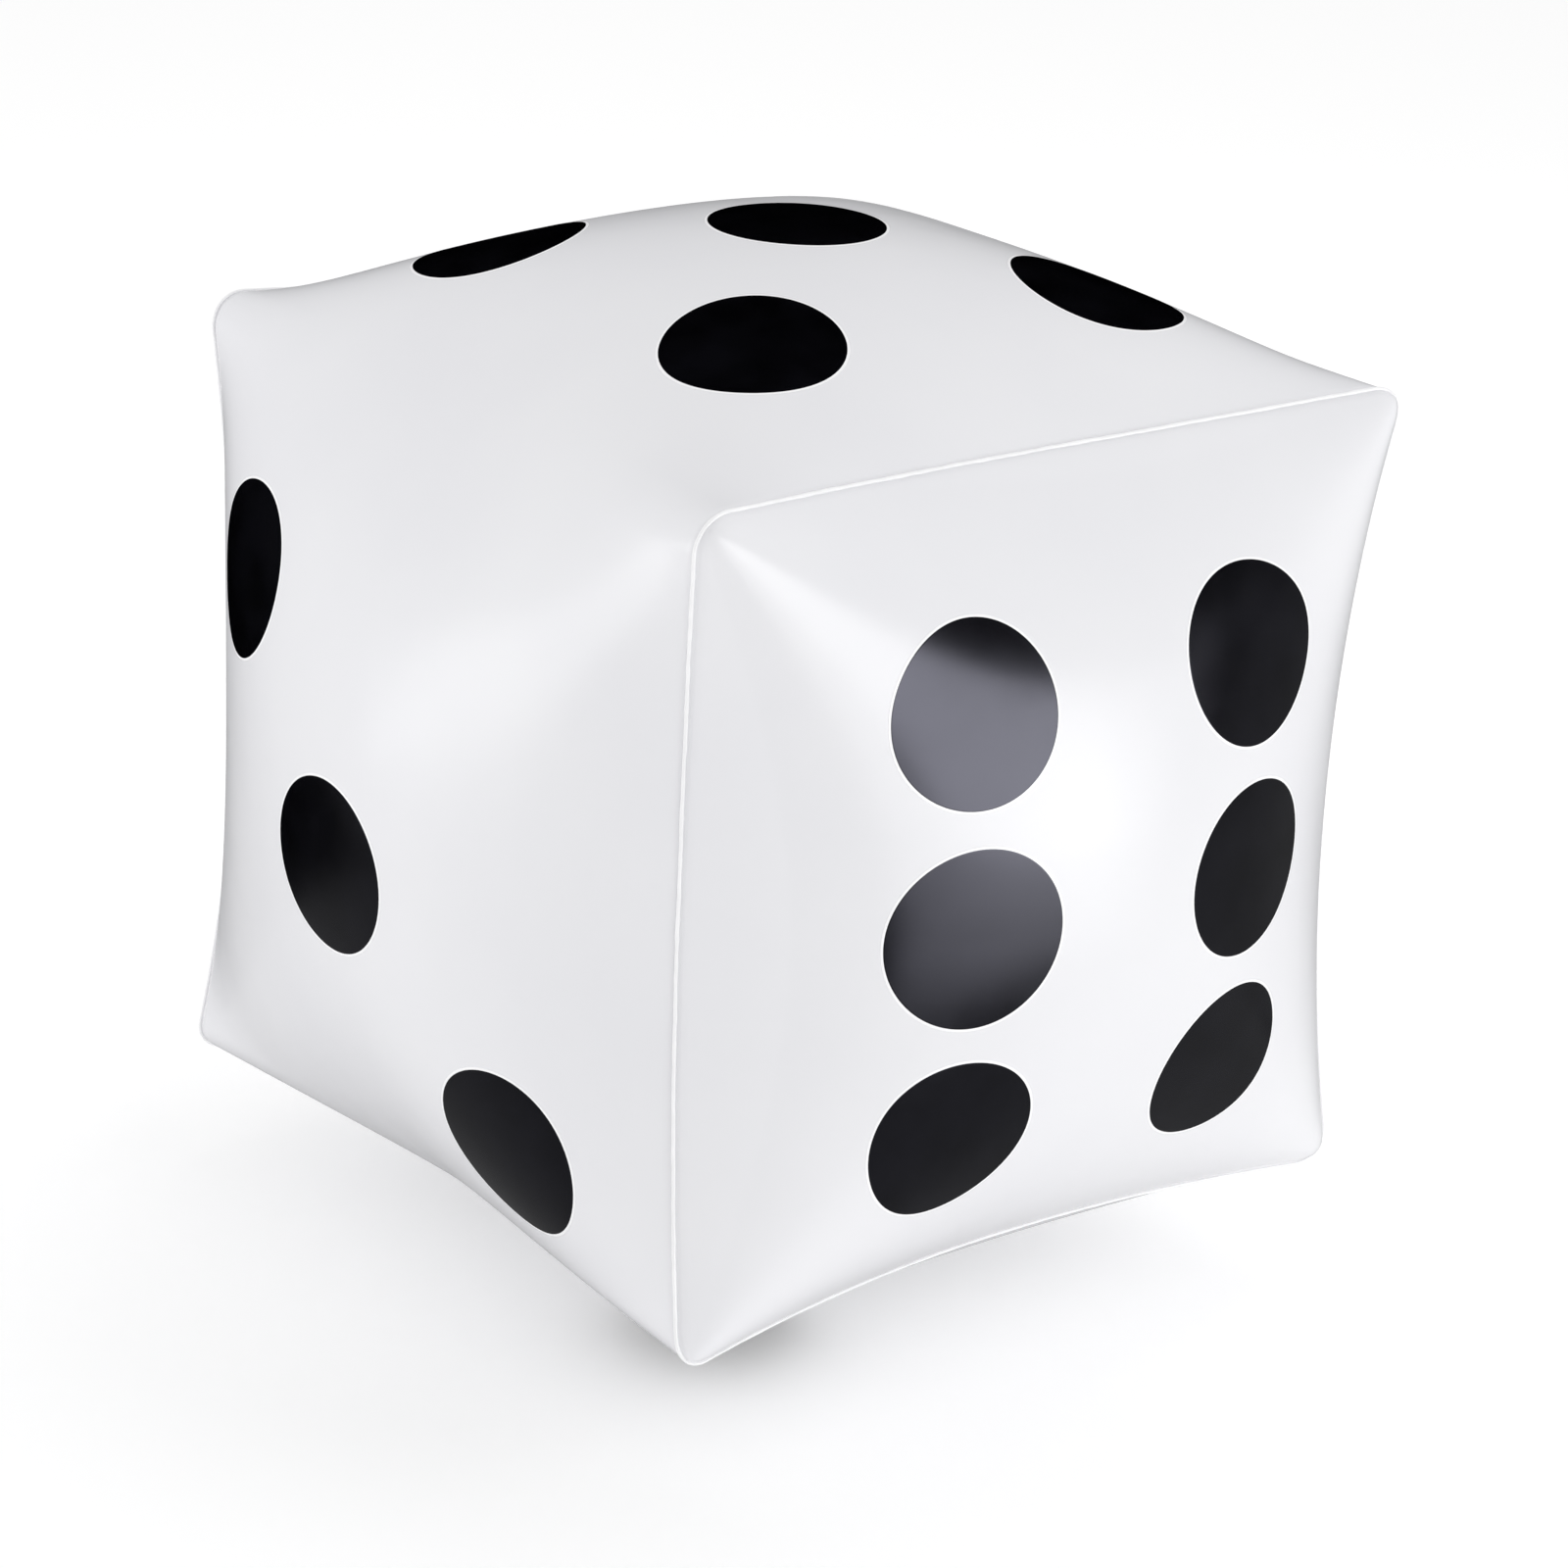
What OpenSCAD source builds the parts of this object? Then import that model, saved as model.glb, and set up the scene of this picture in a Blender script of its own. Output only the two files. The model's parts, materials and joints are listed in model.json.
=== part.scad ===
// Giant yard dice: an air-filled film cube with printed pips and a push-in air valve.
// +Y is the 1 face, -Y the 6 face, +X the 4 face, -X the 3 face, +Z the 5 face and -Z the 2 face.
// The origin is under the middle of the die, on the ground that it rests on.

/* [Film] */
// Side of each square of film before it is filled with air
film_side = 500; // [300:10:600]
// Corner radius of the two square end panels
film_corner_r = 22; // [10:1:22]
// Thickness of the film
film_t = 0.25; // [0.2:0.05:0.4]

/* [Filled shape, as shares of half the film side] */
// Reach of the 1 and 6 faces at their middles
end_reach = 1.31; // [1.25:0.01:1.36]
// Reach of the other four faces at their middles
side_reach = 1.272; // [1.22:0.002:1.3]
// Reach of the rounded edges between those four faces, halfway along
edge_reach = 1.32; // [1.3:0.01:1.36]
// Reach of the eight corners along Y
corner_reach = 1.02; // [1:0.01:1.04]
// How far the middle of a weld seam is drawn in along Y
seam_draw = 0.09; // [0.04:0.01:0.1]
// How far the middle of a weld seam is drawn in across Y
seam_sag = 0.04; // [0.02:0.005:0.05]
// Stretch of the film at the middle of an end panel
film_stretch = 0.034; // [0:0.002:0.05]
// Depth of the small flat that the die's weight presses into its lowest face, in mm
rest_depth = 1.0; // [0.8:0.1:3]

/* [Pips] */
// Diameter of a printed pip
pip_d = 102; // [60:1:104]
// Half the spacing of the corner pips on the 1 to 5 faces
pip_pitch = 123; // [90:1:130]
// Half the spacing of the three pips on the 3 face
three_pitch = 133; // [90:1:140]
// How far the print of the 3 face sits below its middle
three_drop = 21; // [0:1:25]
// Half the spacing of the two columns of the 6 face
six_column = 98; // [60:1:120]
// Spacing of the rows of the 6 face
six_row = 123; // [110:1:130]
// Height of the ink above the film
ink_t = 0.3; // [0.2:0.05:0.4]

/* [Welds] */
// Width of the weld bead round each end panel
weld_w = 2.2; // [2:0.1:5]
// Height of the weld bead
weld_h = 1.4; // [1:0.1:3]
// Width of the lap weld that closes the band
lap_w = 8; // [5:1:12]

/* [Air valve] */
// Distance of the valve below the middle of the 1 face, on the film
valve_drop = 105; // [95:1:130]
// Radius of the hole in the film
valve_hole_r = 11; // [10.5:0.5:14]
// Outer radius of the welded flange
flange_r = 18; // [16:1:24]
// Outer radius of the stem
stem_r = 6.5; // [6:0.1:7]
// Radius of the stem's bore, for a pump nozzle
bore_r = 4.5; // [4:0.1:4.8]
// Length of the stem below its rim
stem_l = 15.4; // [14:0.1:18]
// Distance of the strap's fold from the stem's axis
fold_r = 16; // [15.5:0.5:18]

/* [Hidden] */
half = film_side / 2;
corner_share = film_corner_r / half;
// A film coordinate times this is a share of the way from a side's middle to its corner
film_to_arc = 1 / (1 - corner_share + PI * corner_share / 4);
// Rows and columns of facets on each face
cells = 20;

// How fast the film falls from the middle of an end panel to its edge
end_power = 2.2;
// How fast the film's in-plane stretch falls away towards an edge
stretch_power = 2.75;
// Mean radius and squareness of the band's section where it meets an end panel
rim_mean = 1.098;
rim_square = 0.223;
// How fast the band's section grows square towards an end panel, and its corners sharp
mean_power = 2.66;
square_power = 1.88;
sharp_power = 3.8;
// How fast the band's rulings fan out towards the corners
fan_power = 3;
// Stretch of the film along Y at the band's middle: at an edge, and added at a face's middle
band_stretch = 1.005;
band_extra = 0.0365;

mid_mean = (side_reach + edge_reach) / 2;
mid_square = (edge_reach - side_reach) / 2;
floor_z = rest_depth - side_reach * half;

// A bump that is 1 at a face's middle and 0 at its edge
function fall(t) = max(1 - pow(abs(t), end_power), 0);
function crown(p, q) = p * q == 0 ? 0 : p * q / sqrt(p * p + q * q - p * p * q * q);
// 1 over most of a panel, and 0 on the arcs of its rounded corners
function corner_cut(a, b) =
    let (
        u = max(abs(a) - 1 + corner_share, 0) / corner_share,
        v = max(abs(b) - 1 + corner_share, 0) / corner_share,
        inside = max(1 - norm([u, v]), 0),
        diagonal = u * v == 0 ? 0 : 2 * u * v / (u * u + v * v)
    )
    1 - diagonal * diagonal * (1 - inside * inside * (3 - 2 * inside));
function slide_in(a, b) =
    a * (1 + (1 - b * b) * (film_stretch - (film_stretch + seam_sag) * pow(abs(a), stretch_power)));
function end_depth(a, b) =
    corner_reach - seam_draw * (2 - a * a - b * b)
    + (end_reach - corner_reach + 2 * seam_draw) * crown(fall(a), fall(b)) * corner_cut(a, b);

// A point of the 6 face's panel, from film coordinates of -1 to 1 along X and Z
function front_point(a, b) = half * [slide_in(a, b), -end_depth(a, b), slide_in(b, a)];
function rear_point(a, b) = half * [slide_in(a, b), end_depth(a, b), slide_in(b, a)];

// Film coordinates of the rounded outline, on the side that faces +X
function outline(s) =
    let (t = abs(s) / film_to_arc, turn = max(t - 1 + corner_share, 0) / corner_share * 180 / PI)
    [1 - corner_share * (1 - cos(turn)), sign(s) * (min(t, 1 - corner_share) + corner_share * sin(turn))];

// A point of the band's +X quarter: s runs from edge to edge and v along Y, both from -1 to 1
function quarter_point(s, v) =
    let (
        film = outline(s),
        rim = front_point(film.x, film.y) / half,
        rim_turn = atan2(rim.z, rim.x),
        near = abs(v),
        turn = 45 * s + (rim_turn - 45 * s) * pow(near, fan_power),
        mean = mid_mean + (rim_mean - mid_mean) * pow(near, mean_power),
        square = mid_square + (rim_square - mid_square) * pow(near, square_power),
        rim_extra = norm([rim.x, rim.z]) - rim_mean + rim_square * cos(4 * rim_turn),
        reach = mean - square * cos(4 * turn) + rim_extra * pow(near, sharp_power),
        middle = band_stretch + band_extra * (1 - s * s),
        along = v * (middle - (middle + rim.y) * pow(near, stretch_power))
    )
    half * [reach * cos(turn), along, reach * sin(turn)];

// Quarter 0 faces +X, 1 faces +Z, 2 faces -X and 3 faces -Z
function band_point(quarter, s, v) =
    let (p = quarter_point(s, v), c = cos(90 * quarter), n = sin(90 * quarter))
    [c * p.x - n * p.z, p.y, n * p.x + c * p.z];

// A point of any numbered face, from film coordinates in mm
function face_point(face, a, b) =
    face == 6 ? front_point(a / half, b / half) :
    face == 1 ? rear_point(a / half, b / half) :
    face == 4 ? band_point(0, b / half * film_to_arc, a / half) :
    face == 5 ? band_point(1, -a / half * film_to_arc, b / half) :
    face == 3 ? band_point(2, -b / half * film_to_arc, a / half) :
    band_point(3, a / half * film_to_arc, b / half);

// Presses the lowest film flat, moves a point out by a thickness, and stands the die on the ground
function placed(p, out = 0) =
    let (q = [p.x, p.y, max(p.z, floor_z)], r = q * (1 + out / norm(q)))
    [r.x, r.y, max(r.z, floor_z) - floor_z];
function inner(p) = placed(p, -film_t) + [0, 0, p.z < floor_z ? film_t : 0];

// Two triangles for each cell of a grid of points, the other way round when turned
function grid_faces(rows, cols, start, turned) = [
    for (i = [0 : rows - 1], j = [0 : cols - 1])
        let (a = start + i * (cols + 1) + j, b = a + 1, c = b + cols + 1, d = c - 1)
        each turned ? [[a, c, b], [a, d, c]] : [[a, b, c], [a, c, d]]
];
function border(rows, cols) = concat(
    [for (j = [0 : cols - 1]) j],
    [for (i = [0 : rows - 1]) i * (cols + 1) + cols],
    [for (j = [cols : -1 : 1]) rows * (cols + 1) + j],
    [for (i = [rows : -1 : 1]) i * (cols + 1)]
);

// A sheet between two grids of points; turned swaps its two sides
module sheet(outer_points, inner_points, rows, cols, turned = false) {
    count = len(outer_points);
    rim = border(rows, cols);
    edge_faces = [
        for (k = [0 : len(rim) - 1])
            let (a = rim[k], b = rim[(k + 1) % len(rim)])
            each turned ? [[a, b, b + count], [a, b + count, a + count]]
                        : [[b, a, b + count], [a, a + count, b + count]]
    ];
    polyhedron(
        concat(outer_points, inner_points),
        concat(grid_faces(rows, cols, 0, turned), grid_faces(rows, cols, count, !turned), edge_faces)
    );
}

// Film coordinates of a grid line; the corner cell ends on the rounded outline
function grid_step(i) = -1 + 2 * i / cells;
function corner_pull(a, b) = abs(a) == 1 && abs(b) == 1 ? 1 - corner_share * (1 - cos(45)) : 1;
function panel_grid() = [
    for (i = [0 : cells], j = [0 : cells])
        let (a = grid_step(j), b = grid_step(i), pull = corner_pull(a, b))
        front_point(a * pull, b * pull)
];
function arc_step(i) = i == 0 || i == cells ? grid_step(i) : grid_step(i) * film_to_arc;

module end_panel(flip) {
    points = [for (p = panel_grid()) flip ? [p.x, -p.y, p.z] : p];
    sheet([for (p = points) placed(p)], [for (p = points) inner(p)], cells, cells, flip);
}

module front_panel() {
    color([0.93, 0.93, 0.95])
        end_panel(false);
}

module rear_panel() {
    color([0.93, 0.93, 0.95])
        difference() {
            end_panel(true);
            at_valve()
                cylinder(h = 8, r = valve_hole_r, center = true, $fn = 96);
        }
}

// The band runs round the 5, 3, 2 and 4 faces as one strip
module side_band() {
    count = 4 * cells;
    ring = [
        for (k = [0 : count - 1])
            [floor(k / cells), arc_step(k % cells)]
    ];
    points = [
        for (i = [0 : cells], step = ring)
            band_point(step[0], step[1], grid_step(i))
    ];
    total = len(points);
    skin = [
        for (i = [0 : cells - 1], k = [0 : count - 1])
            let (
                a = i * count + k,
                b = i * count + (k + 1) % count,
                c = b + count,
                d = a + count
            )
            each (i + k) % 2 == 0 ? [[a, d, b], [b, d, c]] : [[a, c, b], [a, d, c]]
    ];
    lining = [for (f = skin) [f[0] + total, f[2] + total, f[1] + total]];
    rims = [
        for (k = [0 : count - 1])
            let (a = k, b = (k + 1) % count, last = cells * count)
            each [
                [a, b, b + total], [a, b + total, a + total],
                [a + last, b + last + total, b + last], [a + last, a + last + total, b + last + total]
            ]
    ];
    color([0.93, 0.93, 0.95])
        polyhedron(
            concat([for (p = points) placed(p)], [for (p = points) inner(p)]),
            concat(skin, lining, rims)
        );
}

// A bead of six sides that runs round the edge of an end panel
module weld_seam(y_sign) {
    count = 4 * cells;
    path = [
        for (k = [0 : count - 1])
            let (p = band_point(floor(k / cells), arc_step(k % cells), 1))
            placed([p.x, y_sign * p.y, p.z])
    ];
    middle = [0, 0, -floor_z];
    sides = 6;
    rings = [
        for (k = [0 : count - 1])
            let (
                along = path[(k + 1) % count] - path[(k + count - 1) % count],
                ahead = along / norm(along),
                out = path[k] - middle,
                up = out - ahead * (out * ahead),
                rise = up / norm(up),
                across = cross(ahead, rise)
            )
            for (m = [0 : sides - 1])
                path[k] + across * weld_w / 2 * cos(60 * m) + rise * weld_h / 2 * sin(60 * m)
    ];
    faces = [
        for (k = [0 : count - 1], m = [0 : sides - 1])
            let (
                a = k * sides + m,
                b = k * sides + (m + 1) % sides,
                c = (k + 1) % count * sides + (m + 1) % sides,
                d = (k + 1) % count * sides + m
            )
            each [[a, c, b], [a, d, c]]
    ];
    color([0.98, 0.98, 0.99])
        polyhedron(rings, faces);
}

module front_weld_seam() {
    weld_seam(-1);
}

module rear_weld_seam() {
    weld_seam(1);
}

// The strip where the two ends of the band overlap, near the lower edge of the 4 face
module band_lap_weld() {
    start = -0.86 * half;
    points = [
        for (i = [0 : cells], j = [0 : 1])
            face_point(4, 0.97 * half * grid_step(i), start + j * lap_w)
    ];
    color([0.96, 0.96, 0.97])
        sheet([for (p = points) placed(p, film_t)], [for (p = points) placed(p, -film_t / 2)], cells, 1, true);
}

// Pip centres in mm on each face's film
function corners4(a, b) = [[-a, b], [a, b], [-a, -b], [a, -b]];
function pip_spots(face) =
    face == 1 ? [[0, 0]] :
    face == 2 ? [[-pip_pitch, -pip_pitch], [pip_pitch, pip_pitch]] :
    face == 3 ? [for (k = [1, 0, -1]) [k * three_pitch, k * three_pitch - three_drop]] :
    face == 4 ? corners4(pip_pitch, pip_pitch) :
    face == 5 ? concat(corners4(pip_pitch, pip_pitch), [[0, 0]]) :
    [for (row = [1, 0, -1], column = [-1, 1]) [column * six_column, row * six_row]];
function pip_name(face, k) = str("face_", face, "_pip_", k + 1);

// A disc of ink that follows the film
module pip(face, k) {
    spot = pip_spots(face)[k];
    slices = 24;
    rings = 3;
    disc = concat(
        [face_point(face, spot.x, spot.y)],
        [
            for (ring = [1 : rings], m = [0 : slices - 1])
                let (reach = pip_d / 2 * ring / rings, turn = 360 * m / slices)
                face_point(face, spot.x + reach * cos(turn), spot.y + reach * sin(turn))
        ]
    );
    count = len(disc);
    top = concat(
        [for (m = [0 : slices - 1]) [0, 1 + m, 1 + (m + 1) % slices]],
        [
            for (ring = [1 : rings - 1], m = [0 : slices - 1])
                let (
                    a = 1 + (ring - 1) * slices + m,
                    b = 1 + (ring - 1) * slices + (m + 1) % slices
                )
                each [[a, a + slices, b + slices], [a, b + slices, b]]
        ]
    );
    base = 1 + (rings - 1) * slices;
    side = [
        for (m = [0 : slices - 1])
            let (a = base + m, b = base + (m + 1) % slices)
            each [[a, a + count, b + count], [a, b + count, b]]
    ];
    turned = face == 1 || face == 3 || face == 5 ? false : true;
    all_faces = concat(top, [for (f = top) [f[0] + count, f[2] + count, f[1] + count]], side);
    color([0.05, 0.05, 0.08])
        polyhedron(
            concat([for (p = disc) placed(p, ink_t)], [for (p = disc) placed(p, -film_t / 2)]),
            turned ? [for (f = all_faces) [f[0], f[2], f[1]]] : all_faces
        );
}

// The valve's frame: z points out of the film, and -y up the face
valve_b = -valve_drop / half;
valve_base = rear_point(0, valve_b);
valve_up = rear_point(0, valve_b + 0.01) - rear_point(0, valve_b - 0.01);
valve_tilt = -atan2(valve_up.y, valve_up.z);
valve_at = [0, valve_base.y, valve_base.z - floor_z];

module at_valve() {
    translate(valve_at)
        rotate([valve_tilt - 90, 0, 0])
            children();
}

flange_t = 0.5;
flange_top = -0.65;
flange_low = flange_top - flange_t;
collar_t = 0.6;
running_gap = 0.05;
rim_z = 1.2;
rim_t = 1;
rim_r = stem_r + 0.9;
stem_end = rim_z - rim_t - stem_l;
collar_end = stem_end + 1.4;

module valve_flange() {
    color([0.9, 0.91, 0.93])
        at_valve()
            difference() {
                translate([0, 0, flange_low])
                    cylinder(h = flange_t, r = flange_r, $fn = 96);
                translate([0, 0, flange_low - 1])
                    cylinder(h = flange_t + 2, r = valve_hole_r - 0.5, $fn = 96);
            }
}

// The soft funnel that turns inside out when the stem is pulled out
module valve_collar() {
    mouth_r = valve_hole_r - 0.5;
    neck_r = stem_r + running_gap;
    color([0.9, 0.91, 0.93])
        at_valve()
            rotate_extrude($fn = 96)
                polygon([
                    [mouth_r - collar_t, flange_top],
                    [mouth_r, flange_top],
                    [mouth_r, flange_low],
                    [neck_r + collar_t, collar_end - collar_t],
                    [neck_r, collar_end - collar_t],
                    [neck_r, collar_end]
                ]);
}

module valve_stem() {
    color([0.88, 0.9, 0.93])
        at_valve()
            difference() {
                union() {
                    translate([0, 0, stem_end])
                        cylinder(h = stem_l + rim_t, r = stem_r, $fn = 96);
                    translate([0, 0, rim_z - rim_t])
                        cylinder(h = rim_t, r = rim_r, $fn = 96);
                }
                translate([0, 0, stem_end - 1])
                    cylinder(h = stem_l + rim_t + 2, r = bore_r, $fn = 96);
            }
}

strap_w = 5;
strap_t = 0.8;
leg_low = rim_z - strap_t;
fold_z = 1.8;
pin_r = 0.7;
knuckle_r = 1.45;
knuckle_w = 3.2;
ear_t = 0.7;
ear_x = knuckle_w / 2 + 0.2;
leg_stop = fold_r - 1.7;

// The lower half of the strap, from the stem's rim to the fold
module strap_lower_leg() {
    color([0.88, 0.9, 0.93])
        at_valve()
            difference() {
                union() {
                    translate([-strap_w / 2, -leg_stop, leg_low])
                        cube([strap_w, leg_stop, strap_t]);
                    for (side = [-1, 1]) {
                        translate([side * (ear_x + ear_t / 2) - ear_t / 2, -fold_r, leg_low])
                            cube([ear_t, fold_r - leg_stop, strap_t]);
                        translate([side * (ear_x + ear_t / 2), -fold_r, fold_z])
                            rotate([0, 90, 0])
                                cylinder(h = ear_t, r = knuckle_r, center = true, $fn = 48);
                    }
                }
                cylinder(h = 10, r = rim_r, center = true, $fn = 96);
                translate([0, -fold_r, fold_z])
                    rotate([0, 90, 0])
                        cylinder(h = strap_w + 2, r = pin_r, center = true, $fn = 48);
            }
}

module strap_fold_pin() {
    color([0.8, 0.82, 0.85])
        at_valve()
            translate([0, -fold_r, fold_z])
                rotate([0, 90, 0])
                    cylinder(h = 2 * (ear_x + ear_t), r = pin_r, center = true, $fn = 48);
}

cap_low = rim_z + running_gap;
cap_t = 1.4;
cap_r = rim_r;
bung_l = 6.2;
bung_end_r = bore_r - 1.3;
upper_low = 1.4;

// The upper half of the strap, from the fold to the plug's cap
module strap_upper_leg() {
    color([0.88, 0.9, 0.93])
        at_valve()
            difference() {
                union() {
                    translate([-strap_w / 2, -fold_r + 2, upper_low])
                        cube([strap_w, fold_r - 2, strap_t]);
                    translate([-knuckle_w / 2, -fold_r, upper_low])
                        cube([knuckle_w, 3, strap_t]);
                    translate([0, -fold_r, fold_z])
                        rotate([0, 90, 0])
                            cylinder(h = knuckle_w, r = knuckle_r, center = true, $fn = 48);
                }
                cylinder(h = 10, r = cap_r, center = true, $fn = 96);
                translate([0, -fold_r, fold_z])
                    rotate([0, 90, 0])
                        cylinder(h = strap_w + 2, r = pin_r + running_gap, center = true, $fn = 48);
            }
}

module valve_plug() {
    color([0.88, 0.9, 0.93])
        at_valve()
            rotate_extrude($fn = 96)
                polygon([
                    [0, cap_low - bung_l],
                    [bung_end_r, cap_low - bung_l],
                    [bore_r - running_gap, cap_low],
                    [cap_r, cap_low],
                    [cap_r, cap_low + cap_t],
                    [0, cap_low + cap_t]
                ]);
}

tab_w = 6;
tab_l = 5;

// The tab that a finger lifts to pull the plug out
module plug_pull_tab() {
    color([0.88, 0.9, 0.93])
        at_valve()
            translate([0, 0, cap_low + cap_t - strap_t])
                difference() {
                    union() {
                        translate([-tab_w / 2, 0, 0])
                            cube([tab_w, cap_r + tab_l - tab_w / 2, strap_t]);
                        translate([0, cap_r + tab_l - tab_w / 2, 0])
                            cylinder(h = strap_t, r = tab_w / 2, $fn = 48);
                    }
                    cylinder(h = 10, r = cap_r, center = true, $fn = 96);
                }
}

flap_t = 0.5;
flap_r = stem_r - 0.8;
flap_top = stem_end - running_gap;

// The one-way flap under the stem, welded to it along one edge
module check_flap() {
    color([0.9, 0.91, 0.93])
        at_valve()
            translate([0, 0, flap_top - flap_t])
                cylinder(h = flap_t, r = flap_r, $fn = 96);
}

front_panel();
rear_panel();
side_band();
front_weld_seam();
rear_weld_seam();
band_lap_weld();
valve_flange();
valve_collar();
valve_stem();
strap_lower_leg();
strap_fold_pin();
strap_upper_leg();
valve_plug();
plug_pull_tab();
check_flap();
for (face = [1 : 6], k = [0 : face - 1])
    pip(face, k);
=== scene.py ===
"""Giant yard dice: an air-filled film cube with printed pips and a push-in air valve.

Everything is in metres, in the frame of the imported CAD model. The origin is under the middle of the die,
on the ground. +Z is up, the 6 face looks along -Y and the 1 face, with the valve, along +Y.
"""

import json
import math

import bmesh
import bpy
import numpy as np
from mathutils import Matrix, Vector

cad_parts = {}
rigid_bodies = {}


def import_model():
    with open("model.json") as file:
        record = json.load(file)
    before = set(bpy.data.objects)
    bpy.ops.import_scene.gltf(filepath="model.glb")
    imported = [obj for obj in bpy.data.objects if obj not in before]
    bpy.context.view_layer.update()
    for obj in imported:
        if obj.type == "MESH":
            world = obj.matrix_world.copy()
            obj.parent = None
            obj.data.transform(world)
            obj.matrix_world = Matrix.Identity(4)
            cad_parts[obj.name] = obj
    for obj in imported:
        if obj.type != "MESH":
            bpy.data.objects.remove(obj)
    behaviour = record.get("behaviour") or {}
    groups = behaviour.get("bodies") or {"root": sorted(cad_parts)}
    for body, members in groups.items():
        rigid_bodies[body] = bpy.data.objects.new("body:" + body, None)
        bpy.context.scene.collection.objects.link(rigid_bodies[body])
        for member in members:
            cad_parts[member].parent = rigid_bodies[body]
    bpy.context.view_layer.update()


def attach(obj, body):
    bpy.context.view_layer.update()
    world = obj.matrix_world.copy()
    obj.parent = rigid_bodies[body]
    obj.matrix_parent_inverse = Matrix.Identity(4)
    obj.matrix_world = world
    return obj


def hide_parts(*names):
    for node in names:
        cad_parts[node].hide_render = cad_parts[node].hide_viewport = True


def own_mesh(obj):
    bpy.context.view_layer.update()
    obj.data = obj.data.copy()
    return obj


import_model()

# ---------------------------------------------------------------- Sizes, as in the CAD part

HALF = 0.25
CORNER_R = 0.024
FILM_T = 0.00025

# Reaches and draws are shares of HALF
END_REACH = 1.31
SIDE_REACH = 1.272
EDGE_REACH = 1.32
CORNER_REACH = 1.02
SEAM_DRAW = 0.09
SEAM_SAG = 0.04
FILM_STRETCH = 0.034
REST_DEPTH = 0.001
END_POWER = 2.2
STRETCH_POWER = 2.75
RIM_MEAN = 1.098
RIM_SQUARE = 0.223
MEAN_POWER = 2.66
SQUARE_POWER = 1.88
SHARP_POWER = 3.8
FAN_POWER = 3
BAND_STRETCH = 1.005
BAND_EXTRA = 0.0365

PIP_R = 0.051
PIP_PITCH = 0.123
THREE_PITCH = 0.133
THREE_DROP = 0.021
SIX_COLUMN = 0.098
SIX_ROW = 0.123

WELD_W = 0.0022
WELD_H = 0.0018
WELD_WAVER = 0.00009
WELD_SWELL = 0.06
GROOVE_W = 0.0037
GROOVE_DEPTH = 0.0009
WELD_STEPS = 240
WELD_SIDES = 14
LAP_W = 0.008
LAP_RIDGES = 5
# The lap's half length and its place below the middle of the 4 face, as shares of HALF
LAP_LENGTH = 0.97
LAP_DROP = 0.86
VALVE_DROP = 0.105

CORNER_SHARE = CORNER_R / HALF
FILM_TO_ARC = 1 / (1 - CORNER_SHARE + math.pi * CORNER_SHARE / 4)
MID_MEAN = (SIDE_REACH + EDGE_REACH) / 2
MID_SQUARE = (EDGE_REACH - SIDE_REACH) / 2
FLOOR_Z = REST_DEPTH - SIDE_REACH * HALF
CENTRE = Vector((0, 0, -FLOOR_Z))

# Even cells across one face of the film, how much closer they lie near its edges, and how far from a weld
# more lines are added
EVEN_CELLS = 84
EDGE_CROWDING = 0.4
ADDED_LINES = (0.0007, 0.0014, 0.0021, 0.0028)

# ---------------------------------------------------------------- The shape of the filled film


def fall(t):
    """1 at a face's middle and 0 at its edge."""
    return np.maximum(1 - np.abs(t) ** END_POWER, 0)


def crown(p, q):
    both = p * q
    return np.where(both > 0, both / np.sqrt(np.maximum(p * p + q * q - both * both, 1e-12)), 0)


def slide_in(a, b):
    pull = FILM_STRETCH - (FILM_STRETCH + SEAM_SAG) * np.abs(a) ** STRETCH_POWER
    return a * (1 + (1 - b * b) * pull)


def squared(a, b):
    """The square film coordinates that rounded() turns into these, without their signs."""
    straight = 1 - CORNER_SHARE
    u = np.maximum(np.abs(a) - straight, 0) / CORNER_SHARE
    v = np.maximum(np.abs(b) - straight, 0) / CORNER_SHARE
    root = math.sqrt(8)

    def undone(x, y):
        both = 2 + x * x - y * y
        return (np.sqrt(np.maximum(both + root * x, 0)) - np.sqrt(np.maximum(both - root * x, 0))) / 2

    wide = np.where(u > 0, straight + CORNER_SHARE * undone(u, v), np.abs(a))
    high = np.where(v > 0, straight + CORNER_SHARE * undone(v, u), np.abs(b))
    return np.minimum(wide, 1), np.minimum(high, 1)


def groove(share):
    """How far the film is pinched in beside a weld, from how far along it lies towards the weld."""
    away = np.clip((1 - share) * HALF / GROOVE_W, 0, 1)
    return GROOVE_DEPTH / HALF * np.sin(math.pi * away) ** 2


def end_depth(a, b):
    wide, high = squared(a, b)
    swell = (END_REACH - CORNER_REACH + 2 * SEAM_DRAW) * crown(fall(wide), fall(high))
    return CORNER_REACH - SEAM_DRAW * (2 - a * a - b * b) + swell - groove(np.maximum(wide, high))


def end_point(a, b, y_sign):
    """A point of an end panel, from film coordinates of -1 to 1 along X and Z."""
    return HALF * np.stack([slide_in(a, b), y_sign * end_depth(a, b), slide_in(b, a)], -1)


def outline(s):
    """Film coordinates of the rounded outline, on the side that faces +X."""
    t = np.abs(s) / FILM_TO_ARC
    turn = np.maximum(t - 1 + CORNER_SHARE, 0) / CORNER_SHARE
    along = np.minimum(t, 1 - CORNER_SHARE) + CORNER_SHARE * np.sin(turn)
    return 1 - CORNER_SHARE * (1 - np.cos(turn)), np.sign(s) * along


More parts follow.
